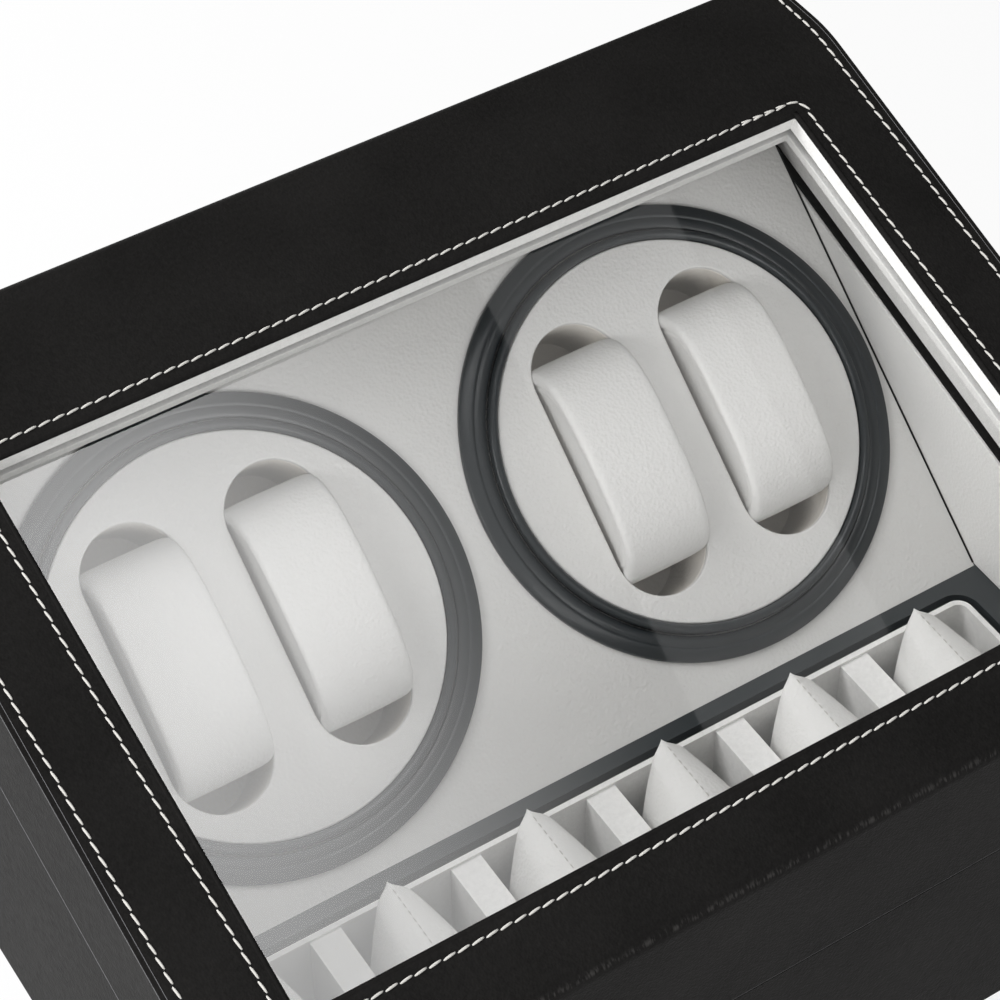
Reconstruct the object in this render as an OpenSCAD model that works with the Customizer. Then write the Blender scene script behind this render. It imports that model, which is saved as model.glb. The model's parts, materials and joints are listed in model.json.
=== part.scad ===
// Twin watch winder box: a leather-covered case with a sloping glazed lid, two
// geared turntables on a tilted panel, and six padded storage bays in front.
// Millimetres. +X is to the right, the front faces -Y, +Z is up. The origin is on
// the ground, under the middle of the whole outline.

/* [Case] */
// Width of the case across the sides
box_w = 306; // [290:1:330]
// Depth of the case from the front face to the back face
box_d = 232; // [228:1:250]
// Height of the flat top above the ground
box_h = 188.5; // [184:0.5:200]
// Height of the rubber feet
foot_h = 2; // [1.5:0.5:4]
// Thickness of the case walls
wall = 10.7; // [8:0.1:12]
// Corner radius of the covered edges
edge_r = 5; // [2:0.5:8]

/* [Lid] */
// Slope of the lid, in degrees
lid_slope = 16.8; // [14:0.1:18]
// Drop from the flat top to the front end of the slope
slope_drop = 60.4; // [56:0.1:64]
// Height of the lid's sides, measured straight down
lid_side_h = 48.3; // [44:0.1:52]
// Thickness of the lid's sides
lid_wall = 7.3; // [6:0.1:9]
// Thickness of the lid's top board
lid_top = 10; // [9:0.5:12]
// Width of the window
window_w = 254; // [230:1:258]
// Length of the window along the slope
window_l = 163.3; // [150:0.1:166]
// Thickness of the pane
glass_t = 3; // [2:0.5:4]
// Depth of the pane below the lid's outer face
glass_depth = 7; // [5:0.5:7]

/* [Turntables] */
// Tilt of the turntable panel, in degrees
panel_tilt = 37.9; // [34:0.1:40]
// Distance of the turntables' centres from the back face
table_back = 79.2; // [78:0.1:84]
// Height of the turntables' centres above the ground
table_z = 107.3; // [104:0.1:110]
// Gap between the two fixed rings
ring_gap = 8.2; // [6:0.1:12]
// Gap between a fixed ring and the side lining
ring_side = 2; // [1:0.1:5]
// Width of the fixed ring round a turntable
ring_w = 8; // [6:0.1:9]
// Width of the turning rim round a turntable's face disc
rim_w = 3; // [2.5:0.1:5]
// Teeth on the turntable's gear
table_teeth = 60; // [48:12:60]
// Teeth on the gearmotor's pinion
pinion_teeth = 12; // [12:12:24]
// Size of a gear tooth (module)
tooth_m = 1; // [0.8:0.1:1]

/* [Pockets and cuffs] */
// Half of the width of a watch pocket
pocket_r = 14.6; // [13:0.1:15]
// Width of the bridge between the two pockets of a turntable
bridge_w = 14.6; // [12:0.1:18]
// Room between a cuff and the end of its pocket
cuff_end = 7.8; // [6:0.1:10]
// Half of the thickness of a cuff
cuff_half_h = 20; // [17:0.5:21]

/* [Storage] */
// Number of storage bays
bays = 6; // [4:1:6]
// Thickness of the walls between the bays
divider = 9.6; // [7:0.1:10]
// Width of the surround between the tray and a side lining
surround_side = 11; // [8:0.1:14]
// Width of the surround between the tray and the turntable panel
surround_rear = 7.5; // [6:0.1:12]
// Height of the tray's rim above the ground
tray_top = 62.5; // [60:0.5:66]

/* [Hidden] */
$fn = 72;
running = 0.06;      // radial clearance of a turning shaft
fit_gap = 0.3;       // clearance between separate rigid pieces
lining = 1.2;        // thickness of the case linings
lid_lining_t = 1.6;  // thickness of the lid's side linings
lid_frame_t = 3;     // thickness of the frame that holds the pane
seam_gap = 0.4;      // gap between the lid and the case
board = 4;           // thickness of the turntable panel
floor_t = 6;         // thickness of the bottom board
eps = 0.01;

// hinges at the back
knuckle_r = 3.4;
leaf_t = 1.5;
hinge_out = 2 * knuckle_r + fit_gap;
hinge_in = 61;       // distance of a hinge's middle from the side of the case
hinge_x = box_w / 2 - hinge_in;
hinge_l = 40;
hinge_pin_r = 1.5;
leaf_h = 16;

// planes and corners of the case
y_front = -(box_d + hinge_out) / 2;
y_back = y_front + box_d;
in_x = box_w / 2 - wall;
in_front = y_front + wall;
in_back = y_back - wall;
floor_top = foot_h + floor_t;
room_x = in_x - lining;
slope_front_h = box_h - slope_drop;
function slope_z(y) = slope_front_h + (y - y_front) * tan(lid_slope);
function seam_z(y) = slope_z(y) - lid_side_h;
hinge_y = y_back + knuckle_r + fit_gap;
hinge_z = seam_z(y_back);

// window, laid out along the slope from its lower edge
window_in = 23;      // level distance of the window's lower edge from the front
window_y = y_front + window_in;
window_margin = 1;   // thickness of the window's own lining
pane_margin = 5;     // how far the pane reaches under the lid's top board

// turntables
table_y = y_back - table_back;
panel_end = 3;       // gap between the panel's upper edge and the back wall
bezel_r = (room_x - ring_side - ring_gap / 2) / 2;
table_x = bezel_r + ring_gap / 2;
rim_r = bezel_r - ring_w;
disc_r = rim_r - rim_w;
surround_top = tray_top - 0.6;
panel_low = (surround_top - table_z) / sin(panel_tilt);
panel_high = (in_back - panel_end - table_y) / cos(panel_tilt);
panel_half_w = room_x - fit_gap;
ring_play = 0.5;     // gap between the fixed ring and the turning rim
ridge_r = 1.7;       // radius of the round ridge on the fixed ring
drum_r = disc_r - 2.5;
drum_wall = 2;
drum_back = -36;
disc_t = 2;
disc_top = 3.5;
shaft_r = 4;
gear_t = 4;
gear_z = -44;
bracket_z = -49.5;
bracket_t = 2.5;
bracket_ear = 7;      // width of the ears that are screwed to the panel
bracket_half_w = bezel_r - bracket_ear;
bracket_half_l = 18;
bracket_hole_y = 10;
bush_r = 7;
bush_flange_r = 9;
bush_flange_t = 1.2;
boss_r = 4.4;         // round boss on the gearbox, in the bracket's hole
boss_h = 2.2;
hub_r = 12;
screw_r = 1.5;
screw_head_r = 2.8;
screw_head_h = 2;
pinion_shaft_r = 2;
gear_gap = tooth_m * (table_teeth + pinion_teeth) / 2;
motor_r = 13;
motor_l = 30;
gearbox_r = 16;
gearbox_l = 12;
cup_wall = 1.5;
cup_gap = 0.98;      // gap between a pocket's cup and the drum's wall
pocket_x = pocket_r + bridge_w / 2;
pocket_reach = drum_r - drum_wall - cup_gap - cup_wall - pocket_r;
pocket_half_l = pocket_r + sqrt(pocket_reach ^ 2 - pocket_x ^ 2);
cuff_half_l = pocket_half_l - cuff_end;
cuff_z = -4;
cuff_half_w = pocket_r - 0.4;
band_t = 4;          // width of the rolled band round a cuff's end face
face_sink = 1.5;     // how far a cuff's end face lies inside its band
pocket_floor = cuff_z - cuff_half_h - fit_gap;

// storage
tray_wall = 2;
tray_corner = 5;     // radius of the tray's upright outer corners
divider_drop = 1;    // how far the walls between the bays end below the rim
surround_back = table_y + panel_low * cos(panel_tilt);
tray_front = in_front + 1.3;
tray_back = surround_back - surround_rear;
tray_half_w = room_x - surround_side;
bay_w = (2 * (tray_half_w - tray_wall) - (bays - 1) * divider) / bays;
bay_l = tray_back - tray_front - 2 * tray_wall;
bay_floor = 14;
surround_t = 6;
surround_lip = 3;    // how far the surround's inner lip lies below its top
groove = 2.4;        // groove between the surround and the tray's rim
pillow_half_w = 13;
pillow_lean = bay_w / 2 - pillow_half_w - 0.35;   // each rests near the left wall of its bay
pillow_end = 2.5;    // room between a pillow and the end of its bay
pillow_top = 76;

// fittings on the back
jack_in = 49;        // distance of the inlet from the right side
jack_x = box_w / 2 - jack_in;
jack_z = 34;
jack_r = 5.9;
jack_to_switch = 34;
switch_x = jack_x - jack_to_switch;
switch_w = 21;
switch_h = 15;
rocker_tilt = 8;
rocker_h = 9.2;
foot_r = 9;
foot_in = 20;
magnet_r = 2.6;
magnet_in = 93;      // distance of a catch magnet from the side of the case
magnet_x = box_w / 2 - magnet_in;

// ---------------------------------------------------------------- helpers

// Places children in a turntable's own frame: +Z out of the panel, +Y up the slope
module at_table(side) {
    translate([side * table_x, table_y, table_z]) rotate([panel_tilt, 0, 0]) children();
}

// Places children in the window's frame: +Y up the slope, +Z out of the lid
module at_window() {
    translate([0, window_y, slope_z(window_y)]) rotate([lid_slope, 0, 0]) children();
}

// Turns a flat outline drawn in Y and Z into a slab centred across the width
module across(width) {
    translate([-width / 2, 0, 0]) rotate([90, 0, 90]) linear_extrude(width) children();
}

// A block from one corner to the opposite corner
module block(low, high) {
    translate(low) cube(high - low);
}

// Points on an arc, from one angle to another
function arc(centre, r, from, to, steps = 8) =
    [for (i = [0 : steps]) let (a = from + (to - from) * i / steps)
        centre + r * [cos(a), sin(a)]];

// Side outline of the lid, moved inwards by the side wall and the top board
module lid_outline(side_t, top_t, foot_z) {
    front = y_front + side_t;
    back = y_back - side_t;
    top = box_h - top_t;
    r = max(edge_r - side_t, 0.5);
    bend_r = 45;
    drop = top_t / cos(lid_slope);
    bend_y = y_front + (top + drop - slope_front_h) / tan(lid_slope);
    reach = bend_r * tan(lid_slope / 2);
    fold = r * tan((90 - lid_slope) / 2);
    front_z = slope_z(front) - drop;
    polygon(concat(
        [[front, seam_z(front) + foot_z]],
        arc([front + r, front_z - fold], r, 180, 90 + lid_slope),
        arc([bend_y + reach, top - bend_r], bend_r, 90 + lid_slope, 90),
        arc([back - r, top - r], r, 90, 0),
        [[back, seam_z(back) + foot_z]]));
}

// Flat rounded slot, long in Y
module stadium(half_w, half_l) {
    hull_l = half_l - half_w;
    square([2 * half_w, 2 * hull_l], center = true);
    for (s = [-1, 1]) translate([0, s * hull_l]) circle(half_w);
}

// Spur gear outline with straight-sided teeth and running backlash. Each point of a
// tooth is a radius and a half width, as a share of the angle from tooth to tooth.
module gear_outline(teeth) {
    pitch_r = tooth_m * teeth / 2;
    step = 360 / teeth;
    flank = [[pitch_r - 1.3 * tooth_m, 0.3], [pitch_r, 0.215], [pitch_r + 0.85 * tooth_m, 0.1]];
    polygon([for (i = [0 : teeth - 1], k = [0 : 5]) let (
        p = flank[k < 3 ? k : 5 - k],
        a = (i + (k < 3 ? -p[1] : p[1])) * step) p[0] * [cos(a), sin(a)]]);
}

// Oval outline of a cuff
function oval(a, b, steps = 48) =
    [for (i = [0 : steps - 1]) let (t = 360 * i / steps) [a * cos(t), b * sin(t)]];

module foot_places() {
    for (x = [-1, 1], y = [y_front + foot_in, y_back - foot_in])
        translate([x * (box_w / 2 - foot_in), y, 0]) children();
}

// Case wall outline with rounded upright corners
module case_plan() {
    rounded_rect([-box_w / 2, y_front], [box_w / 2, y_back], edge_r);
}

// Everything below the seam between the lid and the case
module below_seam() {
    across(box_w + 2) polygon([[y_front - 1, 0], [y_back + 1, 0],
        [y_back + 1, seam_z(y_back + 1)], [y_front - 1, seam_z(y_front - 1)]]);
}

// ---------------------------------------------------------------- case

module base_shell() color([0.10, 0.10, 0.11]) difference() {
    intersection() {
        translate([0, 0, foot_h]) linear_extrude(box_h) case_plan();
        below_seam();
    }
    block([-in_x, in_front, 0], [in_x, in_back, box_h + 1]);
    translate([jack_x, y_back - wall - 1, jack_z]) rotate([-90, 0, 0])
        cylinder(r = jack_r + 0.1, h = wall + 2);
    block([switch_x - switch_w / 2 + 1, y_back - wall - 1, jack_z - switch_h / 2 + 1],
        [switch_x + switch_w / 2 - 1, y_back + 1, jack_z + switch_h / 2 - 1]);
    magnet_seats(0);
}

// Seats for the catch magnets, in the top edge of the front wall
module magnet_seats(shrink) {
    for (x = [-magnet_x, magnet_x])
        translate([x, y_front + lid_wall / 2, seam_z(y_front) - 6 + shrink])
            cylinder(r = magnet_r - shrink, h = (shrink > 0) ? 5 : 20);
}

module catch_magnets() color([0.70, 0.70, 0.72]) magnet_seats(0.02);

module base_floor() color([0.12, 0.12, 0.13])
    block([-in_x + 0.1, in_front + 0.1, foot_h], [in_x - 0.1, in_back - 0.1, floor_top]);

module rubber_feet() color([0.08, 0.08, 0.08]) foot_places() difference() {
    cylinder(r = foot_r, h = foot_h);
    translate([0, 0, -1]) cylinder(r = 3.6, h = foot_h + 2);
}

module foot_screws() color([0.6, 0.6, 0.62]) foot_places()
    translate([0, 0, foot_h - 1.4]) cylinder(r = 3.4, h = 1.4);

module side_lining(side) color([0.86, 0.86, 0.85]) intersection() {
    block([side * in_x - (side > 0 ? lining : 0), in_front + lining, surround_top],
        [side * in_x + (side > 0 ? 0 : lining), in_back, box_h]);
    translate([0, 0, -0.5]) below_seam();
}

module front_lining() color([0.86, 0.86, 0.85]) intersection() {
    block([-in_x, in_front, surround_top], [in_x, in_front + lining, box_h]);
    translate([0, 0, -0.5]) below_seam();
}

module turntable_panel() color([0.85, 0.85, 0.84]) difference() {
    translate([0, table_y, table_z]) rotate([panel_tilt, 0, 0])
        block([-panel_half_w, panel_low, -board], [panel_half_w, panel_high, 0]);
    for (side = [-1, 1]) at_table(side) {
        translate([0, 0, -board - 1]) cylinder(r = drum_r + 2, h = board + 2);
        bracket_holes() translate([0, 0, -board - eps]) cylinder(r = screw_r, h = board - 1, $fn = 24);
    }
}

// Fixed ring: a flange that rises gently to a small step, then a round ridge
module bezel_ring(side) color([0.17, 0.19, 0.21]) at_table(side) {
    inner = rim_r + ring_play;
    ridge = inner + ridge_r;
    rotate_extrude($fn = 144) polygon(concat(
        [[inner, 0], [bezel_r, 0]],
        arc([bezel_r - 1, 0.6], 1, 0, 70, 5),
        [[ridge + ridge_r + 0.4, 2.4], [ridge + ridge_r, 2]],
        arc([ridge, 2.4], ridge_r, 0, 180, 10)));
}

// Surround of the tray, with a lower lip that closes the groove round the rim
module storage_frame() color([0.16, 0.18, 0.20]) difference() {
    block([-room_x, in_front + lining, surround_top - surround_t],
        [room_x, surround_back, surround_top]);
    translate([0, 0, surround_top - surround_lip]) linear_extrude(box_h) tray_plan(groove, groove / 2);
    linear_extrude(box_h) tray_plan(0, 0);
}

// Outline of the tray seen from above, grown by one width in front and another elsewhere
module tray_plan(grow, grow_front) {
    rounded_rect([-tray_half_w - grow, tray_front - grow_front],
        [tray_half_w + grow, tray_back + grow], tray_corner + grow);
}

// Flat rectangle with round corners, from one corner to the opposite corner
module rounded_rect(low, high, r) {
    translate([low.x, low.y + r]) square([high.x - low.x, high.y - low.y - 2 * r]);
    translate([low.x + r, low.y]) square([high.x - low.x - 2 * r, high.y - low.y]);
    for (x = [low.x + r, high.x - r], y = [low.y + r, high.y - r])
        translate([x, y]) circle(r, $fn = 48);
}

// One-piece tray: a thin rim with round corners, and hollow walls between the bays
// that end a little below it
module storage_tray() color([0.78, 0.78, 0.77]) difference() {
    translate([0, 0, bay_floor - tray_wall])
        linear_extrude(tray_top - bay_floor + tray_wall) tray_plan(-fit_gap, -fit_gap);
    difference() {
        translate([0, 0, bay_floor]) linear_extrude(box_h) tray_plan(-tray_wall, -tray_wall);
        bay_walls(divider / 2, tray_top - divider_drop);
    }
    bay_walls(divider / 2 - tray_wall, tray_top - divider_drop - tray_wall);
}

// Blocks between the bays, from under the tray up to a height
module bay_walls(half_t, height) {
    inset = divider / 2 - half_t;
    for (i = [1 : bays - 1])
        translate([(i - bays / 2) * (bay_w + divider), 0, 0])
            block([-half_t, tray_front + inset, 0], [half_t, tray_back - inset, height]);
}

// Storage pillow standing on edge, with a ridge that runs from front to back
module pillow(i) color([0.90, 0.90, 0.89]) {
    half_l = bay_l / 2 - pillow_end;
    height = pillow_top - bay_floor;
    corner = 6;
    ridge = 3;
    translate([0, tray_front + tray_wall + bay_l / 2 + half_l, 0]) rotate([90, 0, 0])
        translate([(i - (bays - 1) / 2) * (bay_w + divider) - pillow_lean, bay_floor])
            linear_extrude(2 * half_l) polygon(concat(
                arc([pillow_half_w - corner, corner], corner, -90, 0, 5),
                arc([pillow_half_w - corner, height * 0.55], corner, 0, 45, 4),
                arc([0, height - ridge], ridge, 35, 145, 5),
                arc([corner - pillow_half_w, height * 0.55], corner, 135, 180, 4),
                arc([corner - pillow_half_w, corner], corner, 180, 270, 5)));
}

// ---------------------------------------------------------------- drive

module bracket_holes() {
    for (x = [-1, 1], y = [-1, 1])
        translate([x * (bracket_half_w + bracket_ear / 2 + 0.5), y * bracket_hole_y, 0]) children();
}

// Bent steel bridge behind the drum, with two ears against the back of the panel
module motor_bracket(side) color([0.72, 0.73, 0.75]) at_table(side) difference() {
    union() {
        block([-bracket_half_w, -bracket_half_l, bracket_z - bracket_t],
            [bracket_half_w, bracket_half_l, bracket_z]);
        for (s = [0, 180]) rotate(s) {
            block([bracket_half_w - bracket_t, -bracket_half_l, bracket_z - bracket_t],
                [bracket_half_w, bracket_half_l, -board]);
            block([bracket_half_w - 1, -bracket_half_l, -board - bracket_t],
                [bracket_half_w + bracket_ear, bracket_half_l, -board]);
        }
    }
    translate([0, 0, bracket_z - 5]) cylinder(r = bush_r, h = 10);
    translate([-side * gear_gap, 0, bracket_z - 5]) cylinder(r = boss_r + 0.2, h = 10);
    bracket_holes() translate([0, 0, -board - 4]) cylinder(r = screw_r + 0.1, h = 6, $fn = 24);
}

module bracket_screws() color([0.6, 0.6, 0.62]) for (side = [-1, 1]) at_table(side)
    bracket_holes() {
        translate([0, 0, -board - bracket_t - screw_head_h]) cylinder(r = screw_head_r, h = screw_head_h);
        translate([0, 0, -board - bracket_t - eps])
            cylinder(r = screw_r - 0.05, h = bracket_t + 2.5, $fn = 24);
    }

module shaft_bush(side) color([0.75, 0.60, 0.32]) at_table(side) difference() {
    union() {
        translate([0, 0, bracket_z - bracket_t - 2])
            cylinder(r = bush_r - 0.05, h = bracket_t + 2 + bush_flange_t);
        translate([0, 0, bracket_z]) cylinder(r = bush_flange_r, h = bush_flange_t);
    }
    translate([0, 0, bracket_z - 20]) cylinder(r = shaft_r + running, h = 40);
}

module gearmotor(side) color([0.66, 0.67, 0.69]) at_table(side)
    translate([-side * gear_gap, 0, bracket_z - bracket_t]) difference() {
        union() {
            translate([0, 0, -gearbox_l]) cylinder(r = gearbox_r, h = gearbox_l);
            translate([0, 0, -gearbox_l - motor_l]) cylinder(r = motor_r, h = motor_l + eps);
            translate([0, 0, -eps]) cylinder(r = boss_r, h = boss_h);
        }
        translate([0, 0, -gearbox_l + 2]) cylinder(r = pinion_shaft_r + running, h = 30);
    }

// Pinion with its output shaft, which turns in the gearbox
module pinion(side) color([0.80, 0.78, 0.70]) at_table(side)
    translate([-side * gear_gap, 0, 0]) {
        translate([0, 0, gear_z]) rotate(180 / pinion_teeth)
            linear_extrude(gear_t) gear_outline(pinion_teeth);
        translate([0, 0, bracket_z - bracket_t - gearbox_l + 4])
            cylinder(r = pinion_shaft_r, h = gear_z + gear_t - bracket_z + bracket_t + gearbox_l - 4);
    }

module table_gear(side) color([0.93, 0.92, 0.88]) at_table(side) difference() {
    translate([0, 0, gear_z]) linear_extrude(gear_t) gear_outline(table_teeth);
    translate([0, 0, gear_z - 1]) cylinder(r = shaft_r + 0.02, h = gear_t + 2);
}

module table_shaft(side) color([0.75, 0.76, 0.78]) at_table(side)
    translate([0, 0, bracket_z - bracket_t - 6])
        cylinder(r = shaft_r, h = drum_back - bracket_z + bracket_t + 8);

// Moulded drum: back wall with a hub, side wall, and the turning rim in front
module drum(side) color([0.15, 0.17, 0.19]) at_table(side) {
    rim_half = rim_w / 2 - 0.1;
    rotate_extrude($fn = 144) polygon(concat(
        [[shaft_r + 0.02, gear_z + gear_t], [hub_r, gear_z + gear_t], [hub_r, drum_back],
        [drum_r, drum_back], [drum_r, 0.6], [rim_r, 0.6]],
        arc([rim_r - rim_half, disc_top], rim_half, 0, 180, 10),
        [[rim_r - 2 * rim_half, disc_top - disc_t], [drum_r - drum_wall, disc_top - disc_t],
        [drum_r - drum_wall, drum_back + drum_wall], [shaft_r + 0.02, drum_back + drum_wall]]));
}

module turntable_disc(side) color([0.86, 0.86, 0.85]) at_table(side)
    translate([0, 0, disc_top - disc_t]) linear_extrude(disc_t) difference() {
        circle(disc_r, $fn = 144);
        for (x = [-1, 1]) translate([x * pocket_x, 0]) stadium(pocket_r, pocket_half_l);
    }

module pocket_cups(side) color([0.84, 0.84, 0.83]) at_table(side)
    for (x = [-1, 1]) translate([x * pocket_x, 0, 0]) difference() {
        translate([0, 0, pocket_floor - cup_wall])
            linear_extrude(disc_top - disc_t - pocket_floor + cup_wall)
                stadium(pocket_r + cup_wall, pocket_half_l + cup_wall);
        translate([0, 0, pocket_floor])
            linear_extrude(disc_top - pocket_floor) stadium(pocket_r, pocket_half_l);
    }

// Oval cuff: a padded band with a slightly sunken face at each end. Its corners are
// rounded in plan, so that it slides into the round-ended pocket.
module cuff(side, place) color([0.90, 0.90, 0.89]) at_table(side)
    translate([place * pocket_x, 0, cuff_z]) intersection() {
        union() {
            across(2 * (cuff_half_w - face_sink)) polygon(oval(cuff_half_l - band_t, cuff_half_h - band_t));
            difference() {
                across(2 * cuff_half_w) polygon(oval(cuff_half_l, cuff_half_h));
                across(2 * cuff_half_w + 2) polygon(oval(cuff_half_l - band_t, cuff_half_h - band_t));
            }
        }
        translate([0, 0, -cuff_half_h - 1]) linear_extrude(2 * cuff_half_h + 2)
            stadium(cuff_half_w, pocket_half_l - pocket_r + cuff_half_w);
    }

module control_board() color([0.10, 0.36, 0.20]) {
    block([-30, in_back - 46, floor_top + 5], [30, in_back - 6, floor_top + 6.6]);
    block([-22, in_back - 38, floor_top + 6.6], [-8, in_back - 24, floor_top + 9]);
    block([4, in_back - 36, floor_top + 6.6], [22, in_back - 28, floor_top + 14]);
}

module board_posts() color([0.85, 0.83, 0.75])
    for (x = [-26, 26], y = [in_back - 42, in_back - 10])
        translate([x, y, floor_top]) cylinder(r = 3, h = 5);

// ---------------------------------------------------------------- back fittings

module dc_jack() color([0.09, 0.09, 0.09])
    translate([jack_x, y_back, jack_z]) rotate([-90, 0, 0]) {
        difference() {
            union() {
                cylinder(r = 8, h = 1.5);
                translate([0, 0, -wall - 3]) cylinder(r = jack_r, h = wall + 3.5);
            }
            translate([0, 0, -10]) cylinder(r = 2.8, h = 20);
        }
        translate([0, 0, -10.5]) cylinder(r = 1, h = 10.5);
    }

module switch_housing() color([0.09, 0.09, 0.09]) difference() {
    union() {
        block([switch_x - switch_w / 2, y_back, jack_z - switch_h / 2],
            [switch_x + switch_w / 2, y_back + 1.5, jack_z + switch_h / 2]);
        block([switch_x - switch_w / 2 + 1.2, y_back - wall - 4, jack_z - switch_h / 2 + 1.2],
            [switch_x + switch_w / 2 - 1.2, y_back + 1, jack_z + switch_h / 2 - 1.2]);
    }
    block([switch_x - 7.5, y_back - 7, jack_z - 5], [switch_x + 7.5, y_back + 5, jack_z + 5]);
}

// Rocker, resting tipped to its off side; it turns about its own pin
module switch_rocker() color([0.16, 0.16, 0.17])
    translate([switch_x, y_back - 2, jack_z]) rotate([0, 0, rocker_tilt])
        linear_extrude(rocker_h, center = true) polygon([[-6.8, 0], [-6.8, 3.6],
            [0, 2.2], [6.8, 3.6], [6.8, 0], [2, -3.5], [-2, -3.5]]);

// ---------------------------------------------------------------- hinges

module hinge_places() {
    for (x = [-hinge_x, hinge_x]) translate([x, hinge_y, hinge_z]) rotate([0, 90, 0]) children();
}

module knuckle(from, to) {
    translate([0, 0, from]) cylinder(r = knuckle_r, h = to - from);
}

module leaf(low_z, high_z, from, to) {
    for (x = [-hinge_x, hinge_x])
        block([x + from, y_back, hinge_z + low_z], [x + to, y_back + leaf_t, hinge_z + high_z]);
}

module hinge_leaves_base() color([0.70, 0.70, 0.72]) difference() {
    union() {
        leaf(-leaf_h, -3, -hinge_l / 2, hinge_l / 2);
        for (s = [-1, 1]) {
            leaf(-4, 0, s * hinge_l / 3 - hinge_l / 6, s * hinge_l / 3 + hinge_l / 6 );
            hinge_places() knuckle(s * hinge_l / 3 - hinge_l / 6, s * hinge_l / 3 + hinge_l / 6);
        }
    }
    hinge_places() translate([0, 0, -hinge_l]) cylinder(r = hinge_pin_r, h = 2 * hinge_l);
    hinge_places() translate([0, 0, -hinge_l / 6 - 0.2]) cylinder(r = knuckle_r + 0.4, h = hinge_l / 3 + 0.4);
}

module hinge_pins() color([0.62, 0.62, 0.64]) hinge_places()
    translate([0, 0, -hinge_l / 2]) cylinder(r = hinge_pin_r - 0.01, h = hinge_l);

module hinge_leaves_lid() color([0.70, 0.70, 0.72]) difference() {
    union() {
        leaf(3, leaf_h, -hinge_l / 2, hinge_l / 2);
        leaf(0, 4, -hinge_l / 6 + 0.2, hinge_l / 6 - 0.2);
        hinge_places() knuckle(-hinge_l / 6 + 0.2, hinge_l / 6 - 0.2);
    }
    hinge_places() translate([0, 0, -hinge_l]) cylinder(r = hinge_pin_r + running, h = 2 * hinge_l);
    for (s = [-1, 1]) hinge_places()
        translate([0, 0, s * hinge_l / 3 - hinge_l / 6 - 0.2])
            cylinder(r = knuckle_r + 0.4, h = hinge_l / 3 + 0.4);
}

// ---------------------------------------------------------------- lid

module lid_shell() color([0.11, 0.11, 0.12]) difference() {
    intersection() {
        across(box_w) lid_outline(0, 0, seam_gap);
        linear_extrude(box_h + 10) case_plan();
    }
    across(box_w - 2 * lid_wall) lid_outline(lid_wall, lid_top, -20);
    at_window() {
        block([-window_w / 2 - window_margin, -window_margin, -30],
            [window_w / 2 + window_margin, window_l + window_margin, 10]);
        block([-window_w / 2 - pane_margin, -pane_margin, -30],
            [window_w / 2 + pane_margin, window_l + pane_margin, -glass_depth]);
    }
    for (x = [-magnet_x, magnet_x])
        translate([x, y_front + lid_wall / 2, seam_z(y_front) - 1]) cylinder(r = magnet_r + 0.02, h = 7);
}

module catch_plates() color([0.70, 0.70, 0.72]) for (x = [-magnet_x, magnet_x])
    translate([x, y_front + lid_wall / 2, seam_z(y_front) + 4]) cylinder(r = magnet_r, h = 2);

module window_lining() color([0.90, 0.90, 0.88]) at_window() difference() {
    block([-window_w / 2 - window_margin, -window_margin, -glass_depth],
        [window_w / 2 + window_margin, window_l + window_margin, -0.4]);
    block([-window_w / 2, 0, -20], [window_w / 2, window_l, 10]);
}

module window_glass() color([0.85, 0.92, 0.92, 0.35]) at_window()
    block([-window_w / 2 - pane_margin + 0.2, -pane_margin + 0.2, -glass_depth - glass_t],
        [window_w / 2 + pane_margin - 0.2, window_l + pane_margin - 0.2, -glass_depth]);

module lid_lining() color([0.86, 0.86, 0.85]) difference() {
    across(box_w - 2 * lid_wall) lid_outline(lid_wall, lid_top, seam_gap + 0.4);
    across(box_w - 2 * lid_wall - 2 * lid_lining_t)
        lid_outline(lid_wall + lid_lining_t, lid_top + lid_frame_t, -20);
    at_window() block([-window_w / 2, 0, -40], [window_w / 2, window_l, 10]);
}

// ---------------------------------------------------------------- assembly

base_shell();
base_floor();
rubber_feet();
foot_screws();
side_lining(-1);  // side_lining_left
side_lining(1);  // side_lining_right
front_lining();
turntable_panel();
bezel_ring(-1);  // bezel_ring_left
bezel_ring(1);  // bezel_ring_right
storage_frame();
storage_tray();
motor_bracket(-1);  // motor_bracket_left
motor_bracket(1);  // motor_bracket_right
bracket_screws();
gearmotor(-1);  // gearmotor_left
gearmotor(1);  // gearmotor_right
shaft_bush(-1);  // shaft_bush_left
shaft_bush(1);  // shaft_bush_right
control_board();
board_posts();
dc_jack();
switch_housing();
switch_rocker();
hinge_leaves_base();
hinge_pins();
catch_magnets();
lid_shell();
window_lining();
window_glass();
lid_lining();
hinge_leaves_lid();
catch_plates();
drum(-1);  // drum_left
drum(1);  // drum_right
turntable_disc(-1);  // turntable_disc_left
turntable_disc(1);  // turntable_disc_right
pocket_cups(-1);  // pocket_cups_left
pocket_cups(1);  // pocket_cups_right
table_gear(-1);  // table_gear_left
table_gear(1);  // table_gear_right
table_shaft(-1);  // table_shaft_left
table_shaft(1);  // table_shaft_right
pinion(-1);  // pinion_left
pinion(1);  // pinion_right
cuff(-1, -1);  // cuff_1
cuff(-1, 1);  // cuff_2
cuff(1, -1);  // cuff_3
cuff(1, 1);  // cuff_4
pillow(0);  // pillow_1
pillow(1);  // pillow_2
pillow(2);  // pillow_3
pillow(3);  // pillow_4
pillow(4);  // pillow_5
pillow(5);  // pillow_6
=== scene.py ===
# %% [markdown]
# # A twin watch winder box
#
# The box winds four watches on two turntables and stores six more on pillows. The packed
# model gives the frame: every case part, gear and hinge at its real size. This script adds
# what the eye sees: leather with its stitching, glossy rings, soft cuffs and pillows, and
# the pane. Everything is in metres, in the model's own frame.

# %%
import json
import math

import bmesh
import bpy
import numpy as np
from mathutils import Matrix, Vector

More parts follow.
